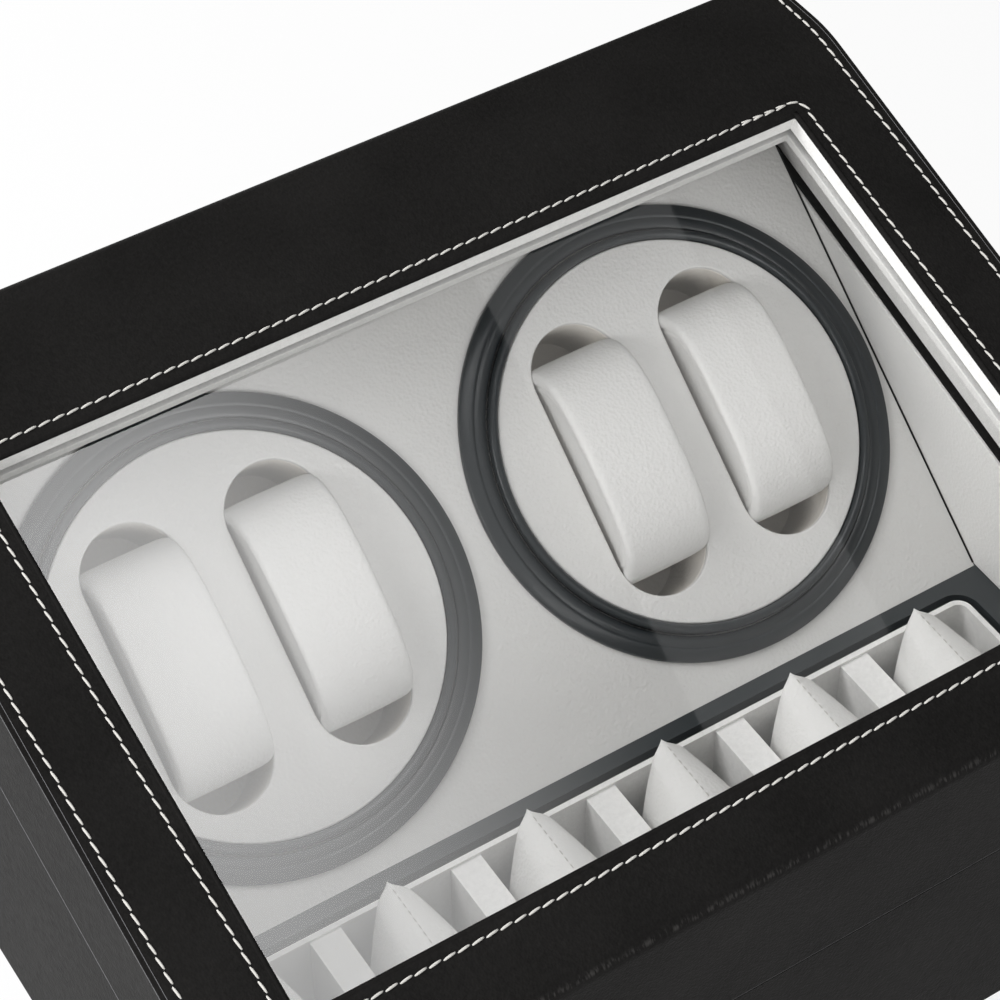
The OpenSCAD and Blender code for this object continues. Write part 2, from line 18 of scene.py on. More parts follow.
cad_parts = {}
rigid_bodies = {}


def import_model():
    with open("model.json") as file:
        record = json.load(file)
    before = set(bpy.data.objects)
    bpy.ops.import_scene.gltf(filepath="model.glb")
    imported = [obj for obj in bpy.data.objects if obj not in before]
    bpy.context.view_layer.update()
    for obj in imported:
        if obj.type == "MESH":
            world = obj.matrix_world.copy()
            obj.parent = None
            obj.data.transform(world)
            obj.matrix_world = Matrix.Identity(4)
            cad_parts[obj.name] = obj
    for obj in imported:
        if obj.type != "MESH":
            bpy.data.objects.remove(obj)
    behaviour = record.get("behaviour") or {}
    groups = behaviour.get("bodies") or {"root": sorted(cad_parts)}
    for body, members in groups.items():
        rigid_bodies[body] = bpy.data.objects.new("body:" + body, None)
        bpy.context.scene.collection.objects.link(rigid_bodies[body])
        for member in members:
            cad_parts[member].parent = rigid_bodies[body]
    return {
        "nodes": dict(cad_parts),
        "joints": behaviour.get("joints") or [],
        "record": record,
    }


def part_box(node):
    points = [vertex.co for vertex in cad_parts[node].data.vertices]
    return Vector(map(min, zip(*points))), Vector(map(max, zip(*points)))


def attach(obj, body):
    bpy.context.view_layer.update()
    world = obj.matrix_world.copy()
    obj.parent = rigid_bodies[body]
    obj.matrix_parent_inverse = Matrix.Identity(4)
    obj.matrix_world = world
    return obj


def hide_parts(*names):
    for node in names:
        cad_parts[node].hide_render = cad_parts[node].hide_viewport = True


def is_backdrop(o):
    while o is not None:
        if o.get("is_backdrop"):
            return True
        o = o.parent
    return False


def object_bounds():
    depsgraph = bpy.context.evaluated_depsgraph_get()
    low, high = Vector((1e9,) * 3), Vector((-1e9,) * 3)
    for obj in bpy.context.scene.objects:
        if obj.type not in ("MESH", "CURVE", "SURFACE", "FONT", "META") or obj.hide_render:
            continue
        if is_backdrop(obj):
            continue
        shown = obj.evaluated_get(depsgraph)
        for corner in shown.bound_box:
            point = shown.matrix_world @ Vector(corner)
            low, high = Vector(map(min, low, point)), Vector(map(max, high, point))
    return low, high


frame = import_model()
nodes = frame["nodes"]
cad_low, cad_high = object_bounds()
mm = 0.001
print("model box", [round(v / mm, 1) for v in cad_high - cad_low], "mm")

# %% [markdown]
# ## Sizes taken from the frame
#
# Sizes could be typed in again here, but then they would drift away from the model. So
# they are read from its pieces, and only what the model doesn't name is written down. The
# lid's slope and the panel's tilt set two working frames: one on the lid's outer face, with
# its origin at the middle of the window's lower edge, and one at each turntable's centre.

# %%
lid_slope = math.radians(16.8)
joints = {joint["name"]: joint for joint in frame["joints"]}
glass_low, glass_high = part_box("window_glass")
lid_low, lid_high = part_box("lid_shell")
half_w = lid_high.x
pane_margin = 4.8 * mm
edge_in = 4.0 * mm
window_in = 3.9 * mm
window_half = glass_high.x - pane_margin
window_length = (glass_high.y - glass_low.y - 3 * mm * math.sin(lid_slope)) / math.cos(lid_slope)
window_length -= 2 * pane_margin
front_y = lid_low.y
slope_front = 128.1 * mm


def slope_height(y):
    """Height of the lid's sloping face at a place along the depth."""
    return slope_front + (y - front_y) * math.tan(lid_slope)


window_y = front_y + 23 * mm
lid_frame = Matrix.Translation((0, window_y, slope_height(window_y))) @ Matrix.Rotation(lid_slope, 4, "X")


def table_frame(side):
    """Working frame of a turntable: X across, Y up the panel, Z out of it."""
    joint = joints[f"turntable_{side}_spin"]
    axis = Vector(joint["axis"])
    tilt = math.atan2(-axis.y, axis.z)
    return Matrix.Translation(Vector(joint["pos_m"])) @ Matrix.Rotation(tilt, 4, "X")


print("window", round(window_half * 2 / mm, 1), "x", round(window_length / mm, 1), "mm")

# %% [markdown]
# ## Camera
#
# A long lens looks down on the box from the left front, close enough that all four
# corners of the lid fall outside the frame. A small shift centres the view, so that the
# camera itself can stay level from side to side.

# %%
camera_place = Vector((-280.0, -431.0, 704.3)) * mm
camera_turn = math.radians(32.73)
camera_down = math.radians(47.28)
sensor = 36
lens = 103.28
shift_right, shift_up = -0.0243, 0.0059
camera = bpy.data.objects.new("camera", bpy.data.cameras.new("camera"))
bpy.context.collection.objects.link(camera)
camera.location = camera_place
camera.rotation_euler = (math.pi / 2 - camera_down, 0, -camera_turn)
camera.data.sensor_width = sensor
camera.data.lens = lens
camera.data.shift_x = shift_right
camera.data.shift_y = shift_up
camera.data.clip_start = 10 * mm
bpy.context.scene.camera = camera
print("camera", round(camera_place.length / mm), "mm from the box's foot, lens", lens, "mm")

# %% [markdown]
# ## Writing materials as sums
#
# A material is a tree of nodes. It could be wired up by hand, socket by socket, but such
# code hides what it works out. Here a `Value` stands for a socket, and values can be added
# and multiplied like numbers, while each sum adds its own Math node.


# %%
class Value:
    """A socket inside a material that takes part in sums."""

    def __init__(self, paint, socket):
        self.paint = paint
        self.socket = socket

    def sum(self, kind, *others):
        node = self.paint.tree.nodes.new("ShaderNodeMath")
        node.operation = kind
        for place, value in zip(node.inputs, (self, *others)):
            self.paint.feed(place, value)
        return Value(self.paint, node.outputs[0])

    def __add__(self, other):
        return self.sum("ADD", other)

    def __sub__(self, other):
        return self.sum("SUBTRACT", other)

    def __mul__(self, other):
        return self.sum("MULTIPLY", other)

    def smooth(self, low, high):
        """0 below low, 1 above high, with a soft step between them."""
        return self.paint.node("ShaderNodeMapRange", out=0, settings={"interpolation_type": "SMOOTHSTEP"},
                               Value=self, From_Min=low, From_Max=high)


# %% [markdown]
# `Paint` holds one material. It adds noise, cells and relief in Object coordinates, so that
# the grain keeps its real size on every piece and doesn't slide when a piece moves.


# %%
class Paint:
    """A material on a Principled surface."""

    def __init__(self, name, colour, roughness, **fixed):
        self.material = bpy.data.materials.new(name)
        self.material.use_nodes = True
        self.tree = self.material.node_tree
        self.surface = self.tree.nodes["Principled BSDF"]
        self.put(Base_Color=(*colour, 1), Roughness=roughness, **fixed)
        self.where = self.node("ShaderNodeTexCoord", out="Object")

    def feed(self, place, value):
        if isinstance(value, Value):
            self.tree.links.new(value.socket, place)
        else:
            place.default_value = value

    def node(self, kind, out=0, settings=None, **inputs):
        """Adds a node. Inputs are named as in Blender, with _ for a space."""
        node = self.tree.nodes.new(kind)
        for key, value in (settings or {}).items():
            setattr(node, key, value)
        for key, value in inputs.items():
            self.feed(node.inputs[key.replace("_", " ")], value)
        return Value(self, node.outputs[out])

    def put(self, **inputs):
        for key, value in inputs.items():
            self.feed(self.surface.inputs[key.replace("_", " ")], value)

    def axis(self, letter):
        return self.node("ShaderNodeSeparateXYZ", out=letter, Vector=self.where)

    def noise(self, size, detail=3.0, stretch=None):
        """Soft noise whose features are about size metres across."""
        where = self.where
        if stretch:
            where = self.node("ShaderNodeMapping", Vector=where, Scale=stretch)
        return self.node("ShaderNodeTexNoise", Vector=where, Scale=1 / size, Detail=detail)

    def cells(self, size):
        """Distance to the nearest of many scattered points, size metres apart."""
        return self.node("ShaderNodeTexVoronoi", Vector=self.where, Scale=1 / size)

    def ramp(self, value, *stops):
        """Colours along a value: each stop is a place and a colour."""
        node = self.tree.nodes.new("ShaderNodeValToRGB")
        self.feed(node.inputs[0], value)
        steps = node.color_ramp.elements
        while len(steps) < len(stops):
            steps.new(0.5)
        for step, (place, colour) in zip(steps, stops):
            step.position = place
            step.color = (*colour, 1)
        return Value(self, node.outputs[0])

    def bump(self, height, depth, strength=1.0):
        """Relief from a height of 0 to 1, depth metres deep."""
        normal = self.node("ShaderNodeBump", Height=height, Distance=depth, Strength=strength)
        self.put(Normal=normal)


# %% [markdown]
# ## Black leather
#
# The case is wrapped in thin black leather with a fine pebble grain. A picture of leather
# could be laid over it, but it would stretch at the folds. Noise and cells give the grain
# at its real size instead. The thread pulls the skin down beside each seam, so the relief
# also dips along the stitch lines. Short pale streaks along the fold at the front are a
# painted highlight in the colour.


# %%
def edge_pull(paint, width):
    """Height of the leather beside the two outer stitch lines, 0 on the line and 1 clear of it."""
    off = (paint.axis("X").sum("ABSOLUTE") - (half_w - edge_in)).sum("ABSOLUTE")
    return off.smooth(0.0, width)


def window_pull(paint, width):
    """The same beside the stitches round the window, from the distance to their rectangle."""
    along = (paint.axis("Y") - window_y) * (1 / math.cos(lid_slope)) - window_length / 2
    past_side = paint.axis("X").sum("ABSOLUTE") - (window_half + window_in)
    past_end = along.sum("ABSOLUTE") - (window_length / 2 + window_in)
    off = past_side.sum("MAXIMUM", past_end).sum("ABSOLUTE")
    return off.smooth(0.0, width)


def fold_highlight(paint):
    """Painted highlight: how much the colour is lightened, in short streaks along the fold at the lid's front
    edge.
    """
    beside = (paint.axis("Y") - front_y).smooth(1.9 * mm, 0.2 * mm)
    above = (paint.axis("Z") - (slope_front - 2.4 * mm)).smooth(0.0, 1.6 * mm)
    streaks = paint.noise(0.9 * mm, 4, stretch=(1.6, 0.3, 0.3)).smooth(0.44, 0.64)
    return beside * above * streaks


def leather(name, colour, roughness=0.5):
    """Pebbles, creases and slow waves in the relief, and a mottled colour."""
    paint = Paint(name, colour, roughness, Specular_IOR_Level=0.03)
    pebbles = paint.cells(0.75 * mm)
    creases = paint.noise(1.6 * mm, 4)
    waves = paint.noise(22 * mm, 2)
    height = pebbles * 0.55 + creases * 0.5 + waves * 0.5
    height = height + (edge_pull(paint, 1.4 * mm) + window_pull(paint, 1.4 * mm)) * 0.9
    paint.bump(height, 0.22 * mm, 0.7)
    cloud = paint.noise(30 * mm, 3) * 0.5 + paint.noise(1.3 * mm, 4) * 0.5
    light = tuple(c * 1.3 for c in colour)
    dark = tuple(c * 0.82 for c in colour)
    # highlight_colour and the streaks along the front fold are a painted highlight in the leather's colour.
    highlight_colour = tuple(c * 5.5 for c in colour)
    tone = cloud * 0.5 + fold_highlight(paint) * 0.6
    paint.put(Base_Color=paint.ramp(tone, (0.175, dark), (0.325, light), (0.95, highlight_colour)),
              Roughness=paint.noise(3 * mm) * 0.14 + (roughness - 0.07))
    return paint.material


# %% [markdown]
# ## Linings
#
# The inside is covered in white leatherette, softly grained, and the tray in a short pale
# nap. Real fibres would take millions of hairs. A fine relief with a little sheen looks the
# same from a hand's distance.


# %%
def leatherette(name, colour, grain=0.9 * mm, depth=0.22 * mm):
    """Embossed plastic skin: one grain size all over, and an even colour."""
    paint = Paint(name, colour, 0.62, Specular_IOR_Level=0.3)
    grain_lines = paint.noise(grain, 5)
    pebbles = paint.cells(grain * 1.3)
    paint.bump(grain_lines * 0.7 + pebbles * 0.6, depth, 0.95)
    cloud = paint.noise(40 * mm, 2)
    paint.put(Base_Color=paint.ramp(cloud, (0.3, tuple(c * 0.97 for c in colour)), (0.7, colour)),
              Roughness=paint.noise(2 * mm) * 0.12 + 0.56)
    return paint.material


def suede(name, colour, nap=0.45 * mm, depth=0.18 * mm):
    """Short fibres in tufts, dark between them and with a soft sheen."""
    paint = Paint(name, colour, 0.95, Specular_IOR_Level=0.1, Sheen_Weight=0.25, Sheen_Roughness=0.6)
    fibres = paint.noise(nap, 6)
    tufts = paint.noise(nap * 5, 3)
    paint.bump(fibres * 0.8 + tufts * 0.4, depth, 0.6)
    paint.put(Base_Color=paint.ramp(fibres * 0.6 + tufts * 0.4,
                                    (0.35, tuple(c * 0.86 for c in colour)), (0.62, colour)))
    return paint.material


# %% [markdown]
# ## Hard parts
#
# Rings, screws and the drive are moulded plastic and metal. They differ in gloss more than
# in colour, so roughness varies a little across each of them, as it does with handling.


# %%
def gloss(name, colour, roughness=0.22, coat=0.4):
    """Polished plastic under a film, with single specks of dust."""
    paint = Paint(name, colour, roughness, Coat_Weight=coat, Coat_Roughness=0.12)
    film = paint.noise(60 * mm, 2)
    dust = paint.cells(5 * mm).smooth(0.05, 0.03)
    paint.put(Roughness=film * 0.08 + (roughness - 0.04) + dust * 0.2)
    return paint.material


def metal(name, colour, roughness=0.35):
    """Bare metal, brushed along X."""
    paint = Paint(name, colour, roughness, Metallic=1.0)
    brushed = paint.noise(1.2 * mm, 4, stretch=(1, 12, 12))
    paint.put(Roughness=brushed * 0.2 + (roughness - 0.1))
    paint.bump(brushed, 0.01 * mm, 0.3)
    return paint.material


def plastic(name, colour, roughness=0.5):
    """Moulded plastic, rubber or board with a faint texture."""
    paint = Paint(name, colour, roughness)
    paint.bump(paint.noise(0.5 * mm, 3), 0.02 * mm, 0.4)
    paint.put(Roughness=paint.noise(8 * mm) * 0.1 + (roughness - 0.05))
    return paint.material


# %% [markdown]
# ## The pane
#
# A pane lets light through and mirrors a little, more at a flat angle. A glass shader would
# bend the light and leave the inside dark and noisy. A mix of a clear and a mirroring
# surface is quick and lets the lamps in. A real pane mirrors on both faces: here the outer
# face takes the mirroring of both.


# %%
def pane_glass(name):
    """Clear from inside, and from outside with the mirroring of both faces."""
    faces = 2.0
    paint = Paint(name, (1, 1, 1), 0.0)
    clear = paint.node("ShaderNodeBsdfTransparent", Color=(0.985, 0.985, 0.985, 1))
    shine = paint.node("ShaderNodeBsdfGlossy", Color=(1, 1, 1, 1), Roughness=0.02)
    fresnel = paint.node("ShaderNodeFresnel", IOR=1.5)
    mix = paint.node("ShaderNodeMixShader")
    node = mix.socket.node
    outer = paint.node("ShaderNodeNewGeometry", out="Backfacing").sum("LESS_THAN", 0.5)
    paint.feed(node.inputs[0], fresnel * outer * faces)
    paint.feed(node.inputs[1], clear)
    paint.feed(node.inputs[2], shine)
    output = paint.tree.nodes["Material Output"]
    paint.tree.links.new(mix.socket, output.inputs["Surface"])
    return paint.material


# %% [markdown]
# ## The palette
#
# Each slot of the model gets one finish, and each plain solid is painted with its own. The
# solids that get a finer piece below are replaced later.

# %%
finish = {
    "leather": leather("black leather", (0.0094, 0.0090, 0.0087)),
    "board": plastic("black board", (0.02, 0.02, 0.02), 0.7),
    "rubber": plastic("black rubber", (0.015, 0.015, 0.015), 0.8),
    "white_lining": leatherette("white leatherette", (0.775, 0.77, 0.755)),
    "suede": suede("white suede", (0.72, 0.715, 0.70)),
    "tray": suede("pale flock", (0.92, 0.915, 0.90), 0.3 * mm, 0.12 * mm),
    "grey_gloss": gloss("slate plastic", (0.017, 0.022, 0.025), 0.36, 0.15),
    "rim_gloss": gloss("dark rim", (0.003, 0.005, 0.006), 0.16, 0.3),
    "surround": gloss("dark surround", (0.024, 0.030, 0.033), 0.3, 0.3),
    "steel": metal("zinc plated steel", (0.62, 0.62, 0.63)),
    "motor": metal("motor can", (0.5, 0.51, 0.52), 0.3),
    "bronze": metal("bronze", (0.65, 0.46, 0.22), 0.4),
    "circuit_board": plastic("solder mask", (0.02, 0.16, 0.06), 0.35),
    "nylon": plastic("nylon", (0.78, 0.76, 0.68), 0.45),
    "black_plastic": plastic("black plastic", (0.02, 0.02, 0.021), 0.4),
    "glass": pane_glass("pane"),
    "thread": suede("white thread", (0.56, 0.545, 0.515), 0.25 * mm, 0.08 * mm),
    # near-black finish for painted shade: in the needle holes and along the panel's crease
    "hole": plastic("needle hole", (0.002, 0.002, 0.002), 0.95),
    "pocket": leatherette("pocket leatherette", (0.90, 0.865, 0.81)),
    # pale grey for the thin beads on the lid's edges: painted highlights
    "edge_highlight": plastic("painted edge highlight", (0.13, 0.13, 0.135), 0.6),
}
slot_of = {part["node"]: part["material_slot"] for part in frame["record"]["subparts"]}
for name, thing in nodes.items():
    thing.data.materials.clear()
    thing.data.materials.append(finish[slot_of[name]])
print(len(nodes), "frame nodes painted")

# %% [markdown]
# ## Making pieces
#
# A piece is one mesh, with its place in the mesh and its object at the origin, and it rides
# on one body of the model, so that it moves with the lid, a turntable or a pillow.


# %%
def settle(thing, body, slot, *replaced):
    """Hands a finished piece to its body, and hides the frame's plain solid."""
    thing.data.materials.clear()
    thing.data.materials.append(finish[slot])
    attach(thing, body)
    if replaced:
        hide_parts(*replaced)


body_of = {node: body for body, held in frame["record"]["behaviour"]["bodies"].items() for node in held}


def new_mesh(name, points, faces):
    """A smooth-shaded mesh object whose faces all look outwards."""
    mesh = bpy.data.meshes.new(name)
    mesh.from_pydata([tuple(p) for p in points], [], faces)
    mesh.validate()
    thing = bpy.data.objects.new(name, mesh)
    bpy.context.collection.objects.link(thing)
    work = bmesh.new()
    work.from_mesh(mesh)
    bmesh.ops.recalc_face_normals(work, faces=work.faces)
    work.to_mesh(mesh)
    work.free()
    mesh.polygons.foreach_set("use_smooth", [True] * len(mesh.polygons))
    return thing


def bake(thing):
    """Replaces an object's mesh by what its modifiers make of it."""
    view = bpy.context.evaluated_depsgraph_get()
    mesh = bpy.data.meshes.new_from_object(thing.evaluated_get(view))
    old = thing.data
    thing.modifiers.clear()
    thing.data = mesh
    if old.users == 0:
        bpy.data.meshes.remove(old)


def soften(node, name, radius, segments=3, slot=None):
    """A copy of a frame node with its sharp edges rounded, which stands for it."""
    mesh = nodes[node].data.copy()
    thing = bpy.data.objects.new(name, mesh)
    bpy.context.collection.objects.link(thing)
    work = bmesh.new()
    work.from_mesh(mesh)
    bmesh.ops.remove_doubles(work, verts=work.verts, dist=0.005 * mm)
    bmesh.ops.dissolve_limit(work, angle_limit=math.radians(0.4), verts=work.verts, edges=work.edges)
    work.to_mesh(mesh)
    work.free()
    bevel = thing.modifiers.new("bevel", "BEVEL")
    bevel.width = radius
    bevel.segments = segments
    bevel.limit_method = "ANGLE"
    bevel.angle_limit = math.radians(32)
    bevel.use_clamp_overlap = True
    mesh.polygons.foreach_set("use_smooth", [True] * len(mesh.polygons))
    even = thing.modifiers.new("even", "WEIGHTED_NORMAL")
    even.mode = "FACE_AREA"
    even.weight = 100
    bake(thing)
    settle(thing, body_of[node], slot or slot_of[node], node)


# %% [markdown]
# Round parts are turned, as on a lathe: an outline of a few points is carried round an axis.


# %%
def lathe(name, frame_matrix, profile, steps=240):
    """Turns a closed outline of [radius, height] points about the frame's Z axis."""
    count = len(profile)
    points = []
    for i in range(steps):
        turn = math.tau * i / steps
        points += [frame_matrix @ Vector((r * math.cos(turn), r * math.sin(turn), z)) for r, z in profile]
    faces = [(i * count + k, i * count + (k + 1) % count,
              (i + 1) % steps * count + (k + 1) % count, (i + 1) % steps * count + k)
             for i in range(steps) for k in range(count)]
    return new_mesh(name, points, faces)


def arc(centre, radius, start, end, steps=6):
    """Points along an arc, from and to an angle in degrees."""
    return [(centre[0] + radius * math.cos(math.radians(a)), centre[1] + radius * math.sin(math.radians(a)))
            for a in np.linspace(start, end, steps + 1)]


# %% [markdown]
# ## Case and lid
#
# Wrapped board has no sharp edge. The boards could be modelled again with round edges, but
# the model's own solids fit each other already, so each is copied and only its edges are
# rounded, by under a millimetre, so that they catch the light.

# %%
boards = [("lid_shell", "lid_cover", 0.9, 3), ("base_shell", "case_cover", 0.7, 3),
          ("base_floor", "bottom_board", 0.3, 2), ("window_lining", "window_reveal", 0.3, 2),
          ("lid_lining", "lid_inside", 0.4, 2), ("side_lining_left", "left_lining", 0.3, 2),
          ("side_lining_right", "right_lining", 0.3, 2), ("front_lining", "front_inside", 0.3, 2),
          ("turntable_panel", "panel_cover", 0.4, 2), ("storage_frame", "tray_surround", 0.5, 3),
          ("storage_tray", "flocked_tray", 0.6, 3)]
for node, name, radius, segments in boards:
    soften(node, name, radius * mm, segments)
for side in ("left", "right"):
    soften(f"turntable_disc_{side}", f"disc_cover_{side}", 0.6 * mm, 3)
    soften(f"pocket_cups_{side}", f"pocket_inside_{side}", 0.2 * mm, 2, "pocket")
print(len(boards), "boards rounded, and the discs and pockets")

# %% [markdown]
# ## Rings round the turntables
#
# The fixed ring is a flange that rises gently to one fine groove, with a low round band
# inside it. The turning rim is a narrower band round the white disc. Both outlines are
# turned about the table's axis, with enough steps that no facet shows in their gloss.

# %%
ring_low, ring_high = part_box("bezel_ring_right")
ring_band = 8 * mm
rim_band = 3 * mm
ring_out = (ring_high.x - ring_low.x) / 2
rim_out = ring_out - ring_band
disc_edge = rim_out - rim_band
disc_face = 3.5 * mm
ridge = 1.7 * mm


def low_band(inner, width, height, rise, steps=12):
    """Outline of a shallow dome from its outer foot to its inner one."""
    radius = (width ** 2 / 4 + rise ** 2) / (2 * rise)
    half = math.degrees(math.asin(width / 2 / radius))
    return arc((inner + width / 2, height + rise - radius), radius, 90 - half, 90 + half, steps)


def ring_outline():
    """The fixed ring: its foot, a rounded outer edge, the flange, the groove and the low band."""
    inner = rim_out + 0.45 * mm
    width = 2 * ridge
    foot = inner + width
    flange = [(foot + 0.9 * mm, 2.72 * mm), (foot + 0.35 * mm, 2.74 * mm), (foot + 0.15 * mm, 2.6 * mm)]
    return ([(inner, 0), (ring_out, 0)] + arc((ring_out - 0.9 * mm, 0.9 * mm), 0.9 * mm, 0, 62, 6)
            + flange + low_band(inner, width, 2.5 * mm, 0.45 * mm))


def rim_outline():
    """The turning rim: two feet and a shallow dome."""
    width = 2.8 * mm
    return ([(disc_edge + 0.1 * mm, 0.7 * mm), (rim_out, 0.7 * mm)]
            + low_band(rim_out - width, width, disc_face - 0.5 * mm, 0.7 * mm))


for side in ("left", "right"):
    at = table_frame(side)
    ring = lathe(f"ring_{side}", at, ring_outline())
    settle(ring, "base", "grey_gloss", f"bezel_ring_{side}")
    rim = lathe(f"rim_{side}", at, rim_outline())
    settle(rim, f"turntable_{side}", "rim_gloss")
print("ring", round(ring_out * 2 / mm, 1), "mm across, white disc", round(disc_edge * 2 / mm, 1), "mm")

# %% [markdown]
# ## Cuffs
#
# A watch is strapped round a cuff: a padded oval band with piping round each end, and an end
# panel that lies a little deeper. Blown-up cloth would lose the crisp piping, so half of
# the outline across is written down and carried round the oval, with a slight unevenness.

# %%
cuff_half = 14.1 * mm
cuff_long = 34.0 * mm
cuff_deep = 20.0 * mm
cuff_height = -4.0 * mm
oval_power = 0.68
pocket_x = 21.9 * mm


def cuff_section():
    """Half of the outline across a cuff: [distance from its middle, share of the oval]."""
    top = [(0.0, 1.0), (0.5, 0.999), (0.80, 0.996), (0.90, 0.990), (0.96, 0.975), (0.99, 0.95), (1.0, 0.92)]
    piping = [(0.99, 0.885), (0.955, 0.872), (0.945, 0.860), (0.965, 0.845), (0.960, 0.815), (0.935, 0.802)]
    return top + piping + [(0.930, 0.72), (0.915, 0.705), (0.920, 0.690), (0.915, 0.55), (0.91, 0.0)]


def squared(value, power):
    """Keeps the sign of a sine or cosine and squares the oval off by a power below 1."""
    return math.copysign(abs(value) ** power, value)


def cuff(name, number, side, place):
    """One cuff, on the left (-1) or right (1) of its turntable's middle."""
    rng = np.random.default_rng(number)
    half = cuff_section()
    section = [(-x, s) for x, s in reversed(half)] + half[1:]
    at = table_frame(side) @ Matrix.Translation((place * pocket_x, 0, cuff_height))
    steps = 96
    wobble = rng.normal(0, 1, 6)
    points = []
    for i in range(steps):
        turn = math.tau * i / steps
        soft = sum(wobble[k] * math.sin((k + 2) * turn + k) for k in range(4)) * 0.06 * mm
        for x, share in section:
            reach = share * (1 + soft / cuff_long)
            points.append(at @ Vector((x * cuff_half, reach * cuff_long * squared(math.cos(turn), oval_power),
                                       reach * cuff_deep * squared(math.sin(turn), oval_power))))
    count = len(section)
    faces = [(i * count + k, i * count + k + 1, (i + 1) % steps * count + k + 1, (i + 1) % steps * count + k)
             for i in range(steps) for k in range(count - 1)]
    thing = new_mesh(name, points, faces)
    work = bmesh.new()
    work.from_mesh(thing.data)
    bmesh.ops.remove_doubles(work, verts=work.verts, dist=0.01 * mm)
    work.to_mesh(thing.data)
    work.free()
    smooth = thing.modifiers.new("smooth", "SUBSURF")
    smooth.levels = 1
    bake(thing)
    settle(thing, f"cuff_{number}", "white_lining", f"cuff_{number}")


for number, (side, place) in enumerate((("left", -1), ("left", 1), ("right", -1), ("right", 1)), 1):
    cuff(f"soft_cuff_{number}", number, side, place)
print("cuffs", round(cuff_long * 2 / mm), "mm long and", round(cuff_half * 2 / mm, 1), "mm wide")

# %% [markdown]
# ## Storage pillows
#
# A pillow is two flat panels sewn together round their edge and filled. It could be shaped
# by hand, but its crowned sides, the ears at the corners and the pull along the seam come
# from the cloth itself. So two flat grids that share their edge are made first.

# %%
def flat_pillow(name, length, height, cell):
    """Two grids in the YZ plane that share their edge, a hair apart in the middle."""
    across = int(round(length / cell))
    up = int(round(height / cell))
    number = {}
    points = []
    for layer in (-1, 1):
        for i in range(across + 1):
            for j in range(up + 1):
                edge = i in (0, across) or j in (0, up)
                key = (i, j, 0 if edge else layer)
                if key not in number:
                    number[key] = len(points)
                    puff = 0 if edge else layer * 0.8 * mm
                    points.append((puff, (i / across - 0.5) * length, (j / up - 0.5) * height))
    faces = []
    for layer in (-1, 1):
        for i in range(across):
            for j in range(up):
                corners = []
                for a, b in ((i, j), (i + 1, j), (i + 1, j + 1), (i, j + 1)):
                    edge = a in (0, across) or b in (0, up)
                    corners.append(number[(a, b, 0 if edge else layer)])
                faces.append(corners)
    return new_mesh(name, points, faces)


# %% [markdown]
# A cloth simulation blows the pattern up. It runs once, for all six pillows.


# %%
def blow_up(thing, pressure, frames, cap):
    """Runs a cloth simulation with pressure, and keeps each point within cap of its start."""
    start = np.array([v.co for v in thing.data.vertices])
    cloth = thing.modifiers.new("cloth", "CLOTH")
    cloth.settings.quality = 6
    cloth.settings.mass = 0.2
    cloth.settings.tension_stiffness = 25
    cloth.settings.compression_stiffness = 12
    cloth.settings.shear_stiffness = 6
    cloth.settings.bending_stiffness = 0.4
    cloth.settings.use_pressure = True
    cloth.settings.uniform_pressure_force = pressure
    cloth.settings.effector_weights.gravity = 0
    cloth.point_cache.frame_start = 1
    cloth.point_cache.frame_end = frames
    for step in range(1, frames + 1):
        bpy.context.scene.frame_set(step)
    bake(thing)
    bpy.context.scene.frame_set(1)
    end = np.array([v.co for v in thing.data.vertices])
    shift = end - start
    length = np.linalg.norm(shift, axis=1, keepdims=True)
    end = start + shift * np.minimum(1, cap / np.maximum(length, 1e-9))
    thing.data.vertices.foreach_set("co", end.ravel())


def fit_box(thing, low, high):
    """Scales a mesh into a box."""
    points = np.array([v.co for v in thing.data.vertices])
    size = points.max(0) - points.min(0)
    points = (points - points.min(0)) / size * (np.array(high) - np.array(low)) + np.array(low)
    thing.data.vertices.foreach_set("co", points.ravel())
    thing.data.update()


def crease_seam(thing):
    """Marks the edges between the two panels as sharp, so that smoothing keeps the seam and ears."""
    mesh = thing.data
    across = [v.co.x for v in mesh.vertices]
    middle = (min(across) + max(across)) / 2
    sides = {}
    for face in mesh.polygons:
        for key in face.edge_keys:
            sides.setdefault(key, set()).add(face.center.x > middle)
    crease = mesh.attributes.new("crease_edge", "FLOAT", "EDGE")
    crease.data.foreach_set("value", [0.45 if len(sides[edge.key]) == 2 else 0.0 for edge in mesh.edges])


# %% [markdown]
# Filling draws the cloth in, so the flat pattern is cut a little larger than the pillow. The
# blown one is copied six times and fitted to the place that each pillow has in the model.

# %%
pillow_low, pillow_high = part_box("pillow_1")
length_drawn_in = 1.12
height_drawn_in = 1.16
cloth_cell = 2.6 * mm
case_length = (pillow_high.y - pillow_low.y) * length_drawn_in
case_height = (pillow_high.z - pillow_low.z) * height_drawn_in
pattern = flat_pillow("pillow_pattern", case_length, case_height, cloth_cell)
blow_up(pattern, pressure=5.0, frames=20, cap=18 * mm)
pattern_points = np.array([v.co for v in pattern.data.vertices])
print("blown pillow", [round(v / mm, 1) for v in pattern_points.max(0) - pattern_points.min(0)], "mm")
for number in range(1, 7):
    low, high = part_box(f"pillow_{number}")
    thing = pattern.copy()
    thing.data = pattern.data.copy()
    thing.name = f"soft_pillow_{number}"
    bpy.context.collection.objects.link(thing)
    fit_box(thing, low, high)
    crease_seam(thing)
    smooth = thing.modifiers.new("smooth", "SUBSURF")
    smooth.levels = 2
    bake(thing)
    thing.data.polygons.foreach_set("use_smooth", [True] * len(thing.data.polygons))
    settle(thing, f"pillow_{number}", "white_lining", f"pillow_{number}")
bpy.data.objects.remove(pattern)
print("pillows made")
